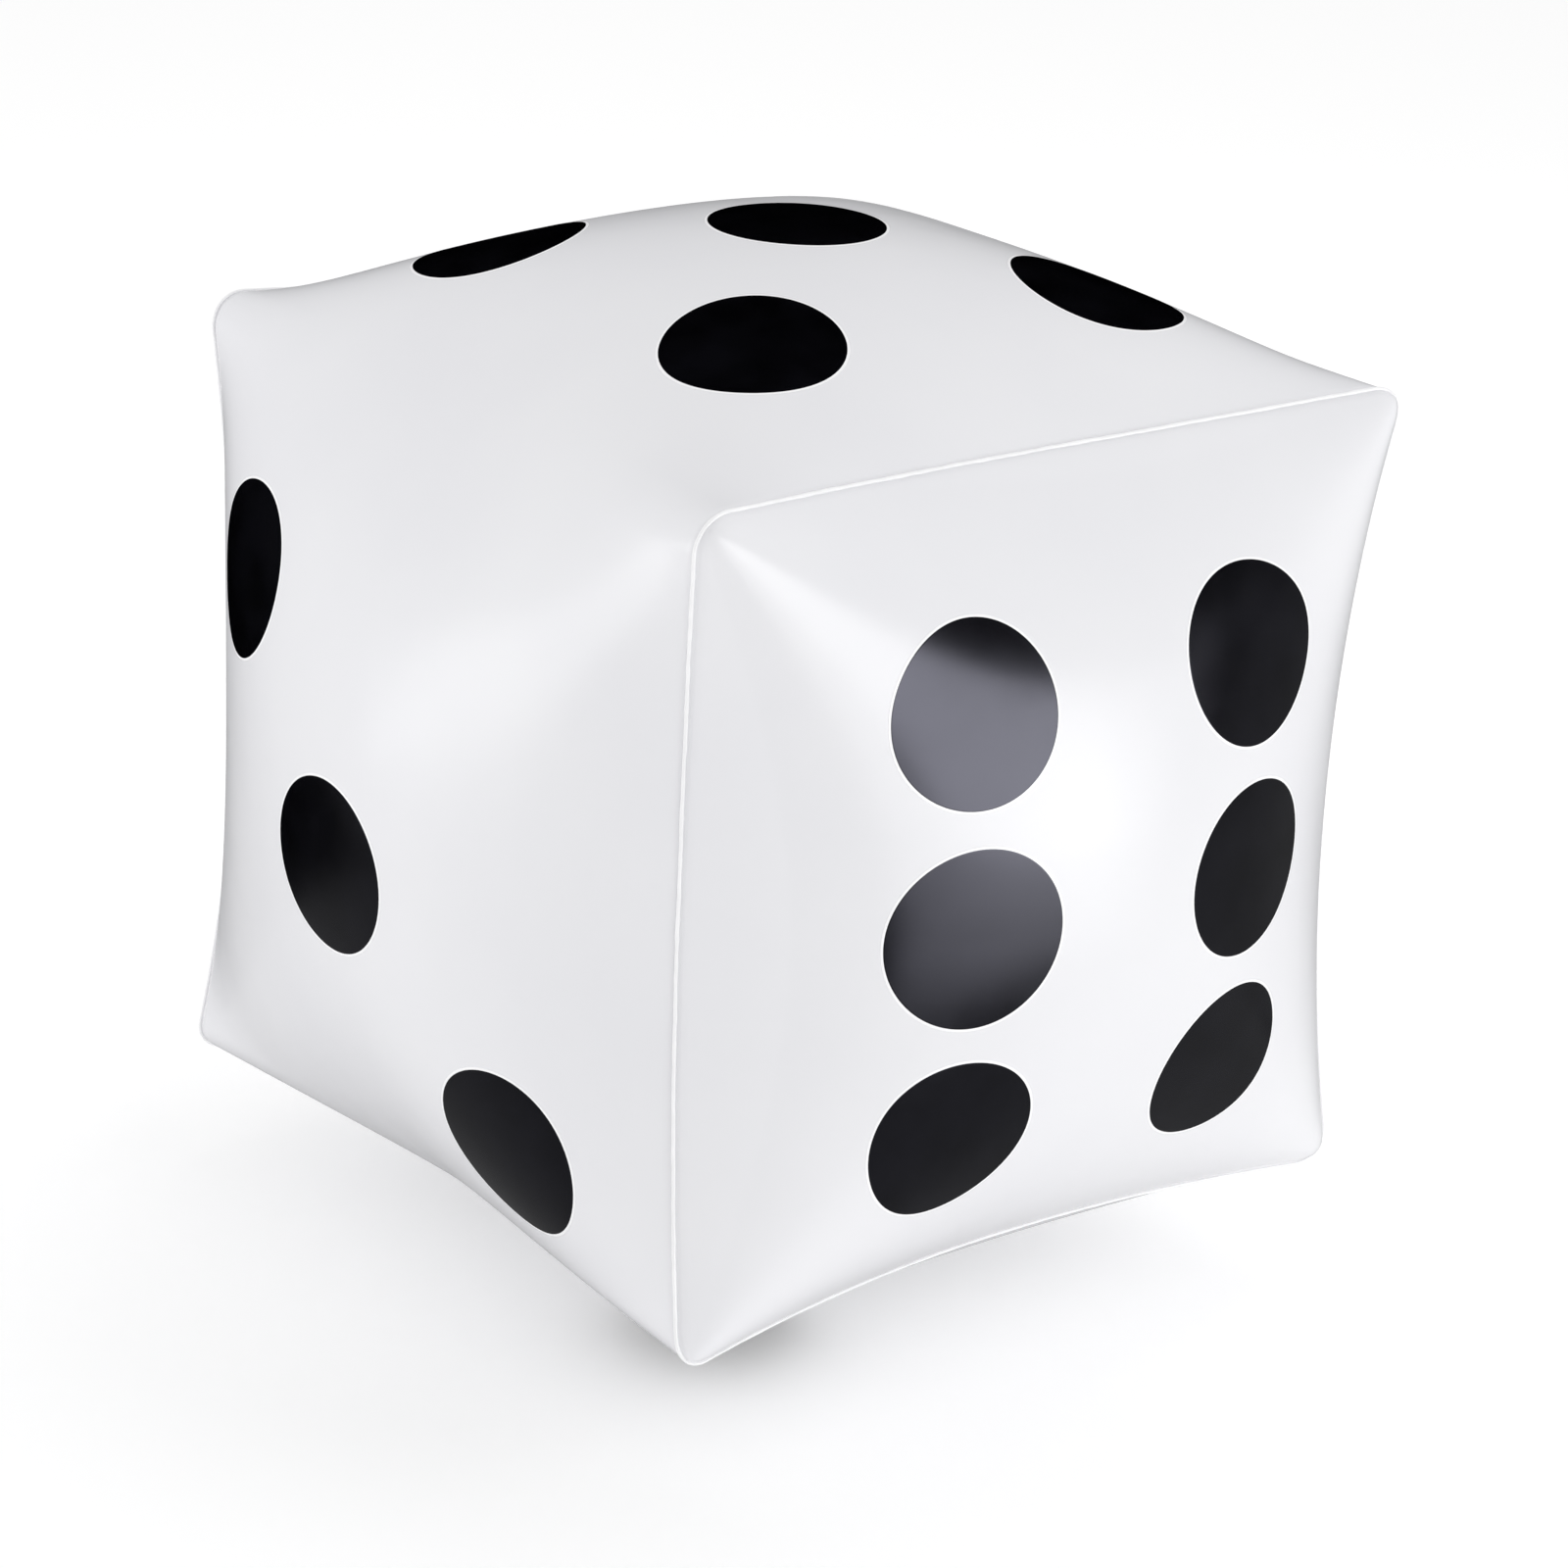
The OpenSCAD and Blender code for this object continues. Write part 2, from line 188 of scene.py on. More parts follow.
def band_point(quarter, s, v):
    """A point of the band: s runs from edge to edge of a quarter and v along Y, both from -1 to 1."""
    s, v = np.broadcast_arrays(np.asarray(s, float), np.asarray(v, float))
    rim = end_point(*outline(s), -1) / HALF
    rim_turn = np.arctan2(rim[..., 2], rim[..., 0])
    near = np.abs(v)
    turn = math.pi / 4 * s + (rim_turn - math.pi / 4 * s) * near**FAN_POWER
    mean = MID_MEAN + (RIM_MEAN - MID_MEAN) * near**MEAN_POWER
    square = MID_SQUARE + (RIM_SQUARE - MID_SQUARE) * near**SQUARE_POWER
    rim_extra = np.hypot(rim[..., 0], rim[..., 2]) - RIM_MEAN + RIM_SQUARE * np.cos(4 * rim_turn)
    reach = mean - square * np.cos(4 * turn) + rim_extra * near**SHARP_POWER - groove(near)
    middle = BAND_STRETCH + BAND_EXTRA * (1 - s * s)
    along = v * (middle - (middle + rim[..., 1]) * near**STRETCH_POWER)
    x, z = reach * np.cos(turn), reach * np.sin(turn)
    c, n = round(math.cos(math.pi / 2 * quarter)), round(math.sin(math.pi / 2 * quarter))
    return HALF * np.stack([c * x - n * z, along, n * x + c * z], -1)


def face_point(face, a, b):
    """A point of any numbered face, from film coordinates in metres from its middle."""
    a, b = np.asarray(a, float) / HALF, np.asarray(b, float) / HALF
    if face == 6:
        return end_point(a, b, -1)
    if face == 1:
        return end_point(a, b, 1)
    quarter, s, v = {
        4: (0, b, a),
        5: (1, -a, b),
        3: (2, -b, a),
        2: (3, a, b),
    }[face]
    return band_point(quarter, s * FILM_TO_ARC, v)


# How far each corner is moved off the true cube's, by the signs of its X, Y and Z. The moves were matched
# across the main view, and their part along the camera's axis is left out.
CORNER_SHIFTS = {
    (-1, -1, 1): (-0.0046, 0.0009, -0.0056),
    (-1, 1, 1): (0.0034, -0.0043, -0.0034),
    (1, -1, 1): (0.0014, -0.0011, 0),
    (-1, -1, -1): (0.0028, -0.0022, 0),
    (-1, 1, -1): (-0.0058, 0.0032, -0.0028),
    (1, -1, -1): (0.0008, 0.0010, 0.0034),
}
SHIFT_POWER = 1.6


def nudged(points):
    """Moves the film near each corner by that corner's shift."""
    points = np.array(points, float)
    moved = points.copy()
    for signs, shift in CORNER_SHIFTS.items():
        near = np.clip(points * signs / HALF, 0, 1) ** SHIFT_POWER
        moved += np.prod(near, -1)[..., None] * np.array(shift)
    return moved


def placed(points):
    """Presses the lowest film flat and stands the die on the ground."""
    points = nudged(points)
    points[..., 2] = np.maximum(points[..., 2], FLOOR_Z) - FLOOR_Z
    return points


def normals_of(face, a, b):
    """Outward unit normals of a face's film."""
    step = 0.0005
    along_a = face_point(face, a + step, b) - face_point(face, a - step, b)
    along_b = face_point(face, a, b + step) - face_point(face, a, b - step)
    normal = np.cross(along_a, along_b)
    normal /= np.linalg.norm(normal, axis=-1, keepdims=True)
    outward = np.sign(np.sum(normal * face_point(face, a, b), -1, keepdims=True))
    return normal * outward


# ---------------------------------------------------------------- Meshes


def new_piece(name, points, faces, material, body, nodes=(), smooth=True):
    mesh = bpy.data.meshes.new(name)
    mesh.from_pydata([tuple(p) for p in points], [], [tuple(f) for f in faces])
    mesh.validate()
    if smooth:
        mesh.shade_smooth()
    mesh.materials.append(material)
    piece = bpy.data.objects.new(name, mesh)
    bpy.context.scene.collection.objects.link(piece)
    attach(piece, body)
    if nodes:
        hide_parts(*nodes)
    return piece


def grid_faces(rows, cols, wrap=False):
    """Quads of a grid of points, stored row by row. A wrapped grid closes on its first column."""
    width = cols if wrap else cols + 1
    return [
        (i * width + j, i * width + (j + 1) % width, (i + 1) * width + (j + 1) % width, (i + 1) * width + j)
        for i in range(rows)
        for j in range(cols)
    ]


def turned(faces):
    return [f[::-1] for f in faces]


def thicken(piece, thickness):
    """Gives an open sheet its thickness, inwards from the points it was made of."""
    solid = piece.modifiers.new("Thickness", "SOLIDIFY")
    solid.thickness = thickness
    solid.offset = -1
    solid.use_even_offset = False
    return piece


def apply_modifiers(piece):
    shown = piece.evaluated_get(bpy.context.evaluated_depsgraph_get())
    mesh = bpy.data.meshes.new_from_object(shown)
    piece.modifiers.clear()
    piece.data = mesh
    return piece


# ---------------------------------------------------------------- Materials


class Nodes:
    """A material with one Principled shader, and short calls that add nodes to it."""

    def __init__(self, name, colour, roughness, **sockets):
        self.material = bpy.data.materials.new(name)
        self.material.use_nodes = True
        self.tree = self.material.node_tree
        self.shader = self.tree.nodes["Principled BSDF"]
        self.set("Base Color", (*colour, 1))
        self.set("Roughness", roughness)
        for socket, value in sockets.items():
            self.set(socket.replace("_", " "), value)
        self.place = self.tree.nodes.new("ShaderNodeTexCoord").outputs["Object"]

    def set(self, socket, value):
        self.shader.inputs[socket].default_value = value

    def link(self, output, target):
        self.tree.links.new(output, target)

    def noise(self, scale, detail=2, rough=0.5, place=None):
        node = self.tree.nodes.new("ShaderNodeTexNoise")
        node.inputs["Scale"].default_value = scale
        node.inputs["Detail"].default_value = detail
        node.inputs["Roughness"].default_value = rough
        self.link(place or self.place, node.inputs["Vector"])
        return node.outputs["Fac"]

    def ramp(self, factor, low, high, at=(0.35, 0.65)):
        """Goes from one colour to another as a factor passes between two places."""
        node = self.tree.nodes.new("ShaderNodeValToRGB")
        for stop, place, colour in zip(node.color_ramp.elements, at, (low, high)):
            stop.position = place
            stop.color = (*colour, 1)
        self.link(factor, node.inputs["Fac"])
        return node.outputs["Color"]

    def spread(self, factor, low, high, at=(0.3, 0.7)):
        node = self.tree.nodes.new("ShaderNodeMapRange")
        for socket, value in zip(("From Min", "From Max", "To Min", "To Max"), (*at, low, high)):
            node.inputs[socket].default_value = value
        self.link(factor, node.inputs["Value"])
        return node.outputs["Result"]

    def bump(self, height, depth, under=None):
        node = self.tree.nodes.new("ShaderNodeBump")
        node.inputs["Strength"].default_value = 1
        node.inputs["Distance"].default_value = depth
        self.link(height, node.inputs["Height"])
        if under is not None:
            self.link(under, node.inputs["Normal"])
        return node.outputs["Normal"]


def film_material():
    """Soft white vinyl film with a soft gloss."""
    m = Nodes("film_vinyl", (0.79, 0.79, 0.81), 0.22, Specular_IOR_Level=0.27)
    tint = m.ramp(m.noise(5, 3), (0.775, 0.775, 0.80), (0.80, 0.80, 0.82))
    m.link(tint, m.shader.inputs["Base Color"])
    m.link(m.spread(m.noise(14, 4), 0.20, 0.25), m.shader.inputs["Roughness"])
    waves = m.bump(m.noise(9, 2), 0.0003)
    skin = m.bump(m.noise(420, 2), 0.000006, waves)
    m.link(skin, m.shader.inputs["Normal"])
    return m.material


def ink_material():
    """Glossy black screen print."""
    m = Nodes("pip_ink", (0.002, 0.002, 0.003), 0.2, Specular_IOR_Level=0.6)
    m.set("Specular Tint", (0.83, 0.83, 1, 1))
    tint = m.ramp(m.noise(30, 3), (0.0012, 0.0012, 0.002), (0.003, 0.003, 0.0045))
    m.link(tint, m.shader.inputs["Base Color"])
    m.link(m.spread(m.noise(20, 3), 0.18, 0.24), m.shader.inputs["Roughness"])
    m.link(m.bump(m.noise(700, 2), 0.000004), m.shader.inputs["Normal"])
    return m.material


def border_material():
    """The white underprint that shows round each pip."""
    m = Nodes("pip_border", (0.93, 0.93, 0.94), 0.35)
    tint = m.ramp(m.noise(60, 2), (0.92, 0.92, 0.93), (0.95, 0.95, 0.96))
    m.link(tint, m.shader.inputs["Base Color"])
    return m.material


def weld_material():
    """Film melted together by the welding bar."""
    m = Nodes("weld_vinyl", (0.91, 0.91, 0.92), 0.3)
    tint = m.ramp(m.noise(80, 3), (0.89, 0.89, 0.90), (0.93, 0.93, 0.94))
    m.link(tint, m.shader.inputs["Base Color"])
    m.link(m.bump(m.noise(300, 3), 0.00006), m.shader.inputs["Normal"])
    return m.material


def valve_material(name, colour, roughness):
    """Soft, slightly see-through moulded vinyl."""
    m = Nodes(name, colour, roughness, Subsurface_Weight=0.25, Subsurface_Scale=0.002)
    pale = tuple(min(c * 1.05, 1) for c in colour)
    m.link(m.ramp(m.noise(60, 3), colour, pale), m.shader.inputs["Base Color"])
    m.link(m.bump(m.noise(900, 2), 0.00001), m.shader.inputs["Normal"])
    return m.material


FILM = film_material()
INK = ink_material()
BORDER = border_material()
WELD = weld_material()
VALVE_FILM = valve_material("valve_film", (0.78, 0.80, 0.83), 0.35)
VALVE_VINYL = valve_material("valve_vinyl", (0.74, 0.77, 0.81), 0.28)

# ---------------------------------------------------------------- Film


def rounded(a, b):
    """Brings the corners of a square grid of film coordinates onto the rounded outline."""
    straight = 1 - CORNER_SHARE
    u = np.maximum(np.abs(a) - straight, 0) / CORNER_SHARE
    v = np.maximum(np.abs(b) - straight, 0) / CORNER_SHARE
    moved_a = straight + CORNER_SHARE * u * np.sqrt(1 - v * v / 2)
    moved_b = straight + CORNER_SHARE * v * np.sqrt(1 - u * u / 2)
    return np.where(u > 0, np.sign(a) * moved_a, a), np.where(v > 0, np.sign(b) * moved_b, b)


def share_of_side(x, z):
    """How far along a side, from -1 to 1, a point of the rounded outline lies."""
    straight = 1 - CORNER_SHARE
    turn = np.arctan2(np.maximum(np.abs(z) - straight, 0), x - straight)
    return np.sign(z) * (np.minimum(np.abs(z), straight) + CORNER_SHARE * turn) * FILM_TO_ARC


# Grid lines of a face: closer together near the edges, where the film bends most
EVEN = np.linspace(-1, 1, EVEN_CELLS + 1)
ADDED = 1 - np.array(ADDED_LINES) / HALF
STEPS = np.sort(np.concatenate([EVEN + EDGE_CROWDING * np.sin(math.pi * EVEN) / math.pi, ADDED, -ADDED]))
CELLS = len(STEPS) - 1
SIDE_SHARES = share_of_side(*rounded(np.ones(CELLS + 1), STEPS))


def end_panel(name, y_sign, hole=None):
    """A square panel. A hole is a function that adds points and faces in place of a block of cells."""
    a, b = rounded(*np.meshgrid(STEPS, STEPS))
    points = placed(end_point(a, b, y_sign)).reshape(-1, 3)
    faces = turned(grid_faces(CELLS, CELLS)) if y_sign > 0 else grid_faces(CELLS, CELLS)
    if hole:
        points, faces = hole(points, faces)
    piece = new_piece(name, points, faces, FILM, "envelope", [name])
    thicken(piece, FILM_T)
    return piece


def side_band():
    around = np.concatenate([np.full(CELLS, q) for q in range(4)])
    s = np.tile(SIDE_SHARES[:-1], 4)
    points = np.zeros((CELLS + 1, 4 * CELLS, 3))
    for quarter in range(4):
        here = around == quarter
        points[:, here] = band_point(quarter, s[here][None, :], STEPS[:, None])
    faces = turned(grid_faces(CELLS, 4 * CELLS, wrap=True))
    points = placed(points).reshape(-1, 3)
    piece = new_piece("side_band", points, faces, FILM, "envelope", ["side_band"])
    thicken(piece, FILM_T)
    return piece


def valve_frame():
    """From the valve's own millimetres to metres: its Z points out of the film and its -Y up the face."""
    share = -VALVE_DROP / HALF
    up = Vector(end_point(0, share + 0.01, 1) - end_point(0, share - 0.01, 1)).normalized()
    across = Vector((1, 0, 0))
    turn = Matrix((across, -up, across.cross(-up))).transposed().to_4x4()
    return Matrix.Translation(placed(end_point(0, share, 1))) @ turn @ Matrix.Scale(0.001, 4)


VALVE_FRAME = valve_frame()
# Radii in mm of the rings of film round the valve, from outside to the hole, and the welded part of them
VALVE_RINGS = np.concatenate([[21, 20, 19.4], np.linspace(19, 11.4, 39), [11.2, 11]])
WELD_FROM, WELD_TO = 18.6, 12
WELD_SHOULDER = 0.5
WELD_RAISE = 0.28
RIDGE_HEIGHT = 0.09
RIDGE_PITCH = 1.65
# Half the block of cells that the rings take the place of, as a share of HALF, and ring points per cell edge
BLOCK_REACH = 0.125
RING_FAN = 4


def weld_print(radius):
    """How far the ridged weld of the valve's flange stands proud of the film, in mm."""
    inside = np.clip((WELD_FROM - radius) / WELD_SHOULDER, 0, 1)
    inside = inside * np.clip((radius - WELD_TO) / WELD_SHOULDER, 0, 1)
    ridges = RIDGE_HEIGHT * np.cos(2 * math.pi * (radius - WELD_TO) / RIDGE_PITCH)
    return inside * inside * (3 - 2 * inside) * (WELD_RAISE - ridges)


def valve_hole(points, faces):
    """Swaps a block of the rear panel's cells for rings of film round the valve's hole."""
    share = -VALVE_DROP / HALF
    columns = np.flatnonzero(np.abs(STEPS) <= BLOCK_REACH)
    rows = np.flatnonzero(np.abs(STEPS - share) <= BLOCK_REACH)
    left, right, low, high = columns[0], columns[-1], rows[0], rows[-1]
    width = CELLS + 1
    block = {(i, j) for i in range(low, high) for j in range(left, right)}
    kept = [f for k, f in enumerate(faces) if divmod(k, CELLS) not in block]
    edge = [low * width + j for j in range(left, right)]
    edge += [i * width + right for i in range(low, high)]
    edge += [high * width + j for j in range(right, left, -1)]
    edge += [i * width + left for i in range(high, low, -1)]
    # Film coordinates of the block's edge give the angles of the rings' points
    spot = np.array([(STEPS[k % width], STEPS[k // width] - share) for k in edge])
    angle = np.unwrap(np.arctan2(spot[:, 1], spot[:, 0]))
    fan = RING_FAN
    ahead = np.append(angle[1:], angle[0] + 2 * math.pi)
    turn = np.concatenate([a + (b - a) * np.arange(fan) / fan for a, b in zip(angle, ahead)])
    step = 0.001
    stretch_a = np.linalg.norm(end_point(step, share, 1) - end_point(-step, share, 1)) / (2 * step)
    stretch_b = np.linalg.norm(end_point(0, share + step, 1) - end_point(0, share - step, 1)) / (2 * step)
    radius = VALVE_RINGS[:, None] * 0.001
    a = radius * np.cos(turn) / stretch_a
    b = share + radius * np.sin(turn) / stretch_b
    raised = weld_print(VALVE_RINGS)[:, None, None] * 0.001
    rings = placed(end_point(a, b, 1)) + normals_of(1, a * HALF, b * HALF) * raised
    count = len(turn)
    first = len(points)
    for k in range(len(edge)):
        corner, after = edge[k], edge[(k + 1) % len(edge)]
        for m in range(fan - 1):
            kept.append((corner, first + fan * k + m, first + fan * k + m + 1))
        kept.append((corner, first + fan * k + fan - 1, first + (fan * k + fan) % count, after))
    for ring in range(len(VALVE_RINGS) - 1):
        start = first + ring * count
        for k in range(count):
            n = (k + 1) % count
            kept.append((start + k, start + count + k, start + count + n, start + n))
    return np.concatenate([points, rings.reshape(-1, 3)]), kept


end_panel("front_panel", -1)
end_panel("rear_panel", 1, valve_hole)
side_band()

# ---------------------------------------------------------------- Welds


def weld_seam(name, y_sign):
    """A bead round the edge of an end panel. Its width and place waver a little."""
    s = np.linspace(-1, 1, WELD_STEPS + 1)[:-1]
    path = np.concatenate([band_point(quarter, s, 1.0) for quarter in range(4)])
    path[:, 1] *= y_sign
    path = placed(path)
    count = len(path)
    ahead = np.roll(path, -1, 0) - np.roll(path, 1, 0)
    ahead /= np.linalg.norm(ahead, axis=1, keepdims=True)
    out = path - np.array(CENTRE)
    rise = out - ahead * np.sum(out * ahead, 1, keepdims=True)
    rise /= np.linalg.norm(rise, axis=1, keepdims=True)
    across = np.cross(ahead, rise)
    lap = np.linspace(0, 2 * math.pi, count + 1)[:-1]
    waver = np.sin(23 * lap + y_sign) + 0.7 * np.sin(61 * lap + 2) + 0.5 * np.sin(137 * lap)
    swell = np.sin(31 * lap) + 0.8 * np.sin(89 * lap + y_sign) + 0.4 * np.sin(173 * lap + 1)
    path = path + across * (WELD_WAVER * waver)[:, None]
    turn = np.linspace(0, 2 * math.pi, WELD_SIDES + 1)[:-1]
    wide = WELD_W / 2 * (1 + WELD_SWELL * swell)
    high = WELD_H / 2 * (1 + WELD_SWELL * swell)
    rings = path[:, None] + across[:, None] * (wide[:, None] * np.cos(turn))[..., None]
    rings = rings + rise[:, None] * (high[:, None] * np.sin(turn))[..., None]
    faces = turned(grid_faces(count - 1, WELD_SIDES, wrap=True))
    first = np.arange(WELD_SIDES)
    last = (count - 1) * WELD_SIDES + first
    for m in range(WELD_SIDES):
        n = (m + 1) % WELD_SIDES
        faces.append((first[m], first[n], last[n], last[m]))
    return new_piece(name, rings.reshape(-1, 3), faces, WELD, "envelope", [name])


weld_seam("front_weld_seam", -1)
weld_seam("rear_weld_seam", 1)

# ---------------------------------------------------------------- Pips

FACE_PIPS = {
    1: [(0, 0)],
    2: [(-PIP_PITCH, -PIP_PITCH), (PIP_PITCH, PIP_PITCH)],
    3: [(k * THREE_PITCH, k * THREE_PITCH - THREE_DROP) for k in (1, 0, -1)],
    4: [(a, b) for b in (PIP_PITCH, -PIP_PITCH) for a in (-PIP_PITCH, PIP_PITCH)],
    5: [(a, b) for b in (PIP_PITCH, -PIP_PITCH) for a in (-PIP_PITCH, PIP_PITCH)] + [(0, 0)],
    6: [(column * SIX_COLUMN, row * SIX_ROW) for row in (1, 0, -1) for column in (-1, 1)],
}
INK_T = 0.00016
BORDER_T = 0.0001
BORDER_W = 0.0015
PIP_SLICES = 120


def pip(face, k, spot):
    """A disc of ink with a rounded edge, and the white underprint round it, that follow the film."""
    slices = PIP_SLICES
    profile = [(PIP_R * share, INK_T) for share in np.linspace(0, 0.985, 15)[1:]]
    profile += [(PIP_R - 0.0003, INK_T), (PIP_R - 0.0001, INK_T * 0.85), (PIP_R, BORDER_T)]
    ink_rings = len(profile)
    profile += [
        (PIP_R + BORDER_W * 0.5, BORDER_T),
        (PIP_R + BORDER_W * 0.85, BORDER_T),
        (PIP_R + BORDER_W, BORDER_T * 0.4),
        (PIP_R + BORDER_W, -FILM_T / 2),
    ]
    turn = np.linspace(0, 2 * math.pi, slices + 1)[:-1]
    radius = np.array([r for r, _ in profile])[:, None]
    height = np.array([h for _, h in profile])[:, None, None]
    a = spot[0] + radius * np.cos(turn)
    b = spot[1] + radius * np.sin(turn)
    rings = face_point(face, a, b) + normals_of(face, a, b) * height
    middle_a, middle_b = np.array([spot[0]]), np.array([spot[1]])
    middle_normal = normals_of(face, middle_a, middle_b)
    top = face_point(face, middle_a, middle_b) + middle_normal * INK_T
    under = face_point(face, middle_a, middle_b) - middle_normal * FILM_T / 2
    points = placed(np.concatenate([top, rings.reshape(-1, 3), under]))
    last = len(points) - 1
    faces = [(0, 1 + m, 1 + (m + 1) % slices) for m in range(slices)]
    for ring in range(len(profile) - 1):
        start = 1 + ring * slices
        for m in range(slices):
            n = (m + 1) % slices
            faces.append((start + m, start + slices + m, start + slices + n, start + n))
    start = 1 + (len(profile) - 1) * slices
    faces += [(last, start + (m + 1) % slices, start + m) for m in range(slices)]
    if face in (2, 4, 6):
        faces = turned(faces)
    name = f"face_{face}_pip_{k + 1}"
    piece = new_piece(name, points, faces, INK, "envelope", [name])
    piece.data.materials.append(BORDER)
    first_border = slices + (ink_rings - 1) * slices
    for polygon in piece.data.polygons:
        polygon.material_index = 1 if polygon.index >= first_border else 0
    return piece


for face, spots in FACE_PIPS.items():
    for k, spot in enumerate(spots):
        pip(face, k, spot)

# ---------------------------------------------------------------- The lap weld that closes the band


def lap_weld():
    """A ridged strip near the lower edge of the 4 face."""
    a = np.linspace(-LAP_LENGTH * HALF, LAP_LENGTH * HALF, WELD_STEPS + 1)
    across = np.linspace(0, 1, 41)
    edge = 0.04
    raise_in = np.clip(np.minimum(across, 1 - across) / edge, 0, 1)
    ridges = 0.5 - 0.5 * np.cos(2 * math.pi * across * LAP_RIDGES)
    height = FILM_T * raise_in * (0.75 + 0.45 * ridges)
    section = [(x * LAP_W, h) for x, h in zip(across, height)]
    section += [(LAP_W, -FILM_T / 2), (0, -FILM_T / 2)]
    b = -LAP_DROP * HALF + np.array([x for x, _ in section])
    out = np.array([h for _, h in section])[None, :, None]
    rows, columns = np.broadcast_arrays(a[:, None], b[None, :])
    points = placed(face_point(4, rows, columns) + normals_of(4, rows, columns) * out).reshape(-1, 3)
    count = len(section)
    faces = grid_faces(len(a) - 1, count, wrap=True)
    faces += [tuple(range(count))[::-1], tuple(range((len(a) - 1) * count, len(a) * count))]
    new_piece("band_lap_weld", points, turned(faces), WELD, "envelope", ["band_lap_weld"])


lap_weld()

# ---------------------------------------------------------------- The air valve, in its own millimetres


def softened(corners, steps=5):
    """Rounds each corner (x, y, cut) of a closed outline, from cut before it to cut after it."""
    points = []
    for k, (x, y, cut) in enumerate(corners):
        here = np.array((x, y), float)
        before = np.array(corners[k - 1][:2]) - here
        after = np.array(corners[(k + 1) % len(corners)][:2]) - here
        if cut == 0:
            points.append(here)
            continue
        start = here + before / np.linalg.norm(before) * cut
        end = here + after / np.linalg.norm(after) * cut
        for t in np.linspace(0, 1, steps + 1):
            points.append((1 - t) ** 2 * start + 2 * t * (1 - t) * here + t * t * end)
    return points


def valve_piece(name, bm, material, body):
    """Makes a piece of a bmesh drawn in the valve's millimetres."""
    bmesh.ops.recalc_face_normals(bm, faces=bm.faces)
    bm.transform(VALVE_FRAME)
    mesh = bpy.data.meshes.new(name)
    bm.to_mesh(mesh)
    bm.free()
    mesh.shade_smooth()
    mesh.materials.append(material)
    piece = bpy.data.objects.new(name, mesh)
    bpy.context.scene.collection.objects.link(piece)
    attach(piece, body)
    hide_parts(name)
    return piece


def lathe(profile, slices=96):
    """Turns (radius, height) points round the valve's axis. Points on the axis close the shape there."""
    bm = bmesh.new()
    turn = np.linspace(0, 2 * math.pi, slices + 1)[:-1]
    rings = []
    for r, z in profile:
        if r == 0:
            rings.append([bm.verts.new((0, 0, z))] * slices)
        else:
            rings.append([bm.verts.new((r * math.cos(t), r * math.sin(t), z)) for t in turn])
    for k, ring in enumerate(rings):
        after = rings[(k + 1) % len(rings)]
        for m in range(slices):
            n = (m + 1) % slices
            corners = list(dict.fromkeys((ring[m], ring[n], after[n], after[m])))
            if len(corners) > 2:
                bm.faces.new(corners)
    return bm


def add_box(bm, low, high):
    middle = (Vector(low) + Vector(high)) / 2
    size = Vector(high) - Vector(low)
    place = Matrix.Translation(middle) @ Matrix.Diagonal((*size, 1))
    bmesh.ops.create_cube(bm, size=1, matrix=place)


def add_rod(bm, middle, radius, length, axis):
    """A rod along X or Z."""
    turn = Matrix.Rotation(math.pi / 2, 4, "Y") if axis == "X" else Matrix.Identity(4)
    place = Matrix.Translation(middle) @ turn
    sizes = {"radius1": radius, "radius2": radius, "depth": length}
    bmesh.ops.create_cone(bm, cap_ends=True, segments=48, matrix=place, **sizes)


def moulded(solids, holes=None, grain=0.14):
    """Melts overlapping solids into one soft-edged moulding, and then cuts the holes through it."""
    work = bpy.data.objects.new("moulding", bpy.data.meshes.new("moulding"))
    solids.to_mesh(work.data)
    solids.free()
    bpy.context.scene.collection.objects.link(work)
    remesh = work.modifiers.new("Melt", "REMESH")
    remesh.mode = "VOXEL"
    remesh.voxel_size = grain
    smooth = work.modifiers.new("Soften", "SMOOTH")
    smooth.iterations = 4
    if holes:
        cutter = bpy.data.objects.new("cutter", bpy.data.meshes.new("cutter"))
        holes.to_mesh(cutter.data)
        holes.free()
        bpy.context.scene.collection.objects.link(cutter)
        cut = work.modifiers.new("Hole", "BOOLEAN")
        cut.operation = "DIFFERENCE"
        cut.object = cutter
    apply_modifiers(work)
    bm = bmesh.new()
    bm.from_mesh(work.data)
    bpy.data.objects.remove(work)
    if holes:
        bpy.data.objects.remove(cutter)
    return bm


HOLE_EDGE_R = 10.5
FLANGE_R = 18
FLANGE_TOP, FLANGE_LOW = -0.65, -1.15
STEM_R, BORE_R, RIM_R = 6.5, 4.5, 7.4
RIM_TOP, RIM_LOW, STEM_END = 1.2, 0.2, -15.2
CAP_LOW, CAP_TOP, BUNG_END = 1.25, 2.65, -4.95
STRAP_W, FOLD_R, FOLD_Z = 5, 16, 1.8
PIN_R, KNUCKLE_R, KNUCKLE_W = 0.7, 1.45, 3.2
EAR_X, EAR_T = 1.8, 0.7
TAB_W, TAB_END = 6, 12.4
FLAP_R, FLAP_TOP, FLAP_LOW = 5.7, -15.25, -15.75
COLLAR_WALL, COLLAR_MOUTH, COLLAR_NECK = 0.5, 11.6, 6.85
COLLAR_TOP, COLLAR_DEPTH = FLANGE_TOP - 0.25, 12.7
COLLAR_FOLDS, FOLD_DEPTH = 9, 0.24


def flange():
    ring = softened([
        (HOLE_EDGE_R, FLANGE_LOW, 0.15), (FLANGE_R, FLANGE_LOW, 0.2),
        (FLANGE_R, FLANGE_TOP, 0.2), (HOLE_EDGE_R, FLANGE_TOP, 0.15),
    ])
    return valve_piece("valve_flange", lathe(ring), VALVE_FILM, "envelope")


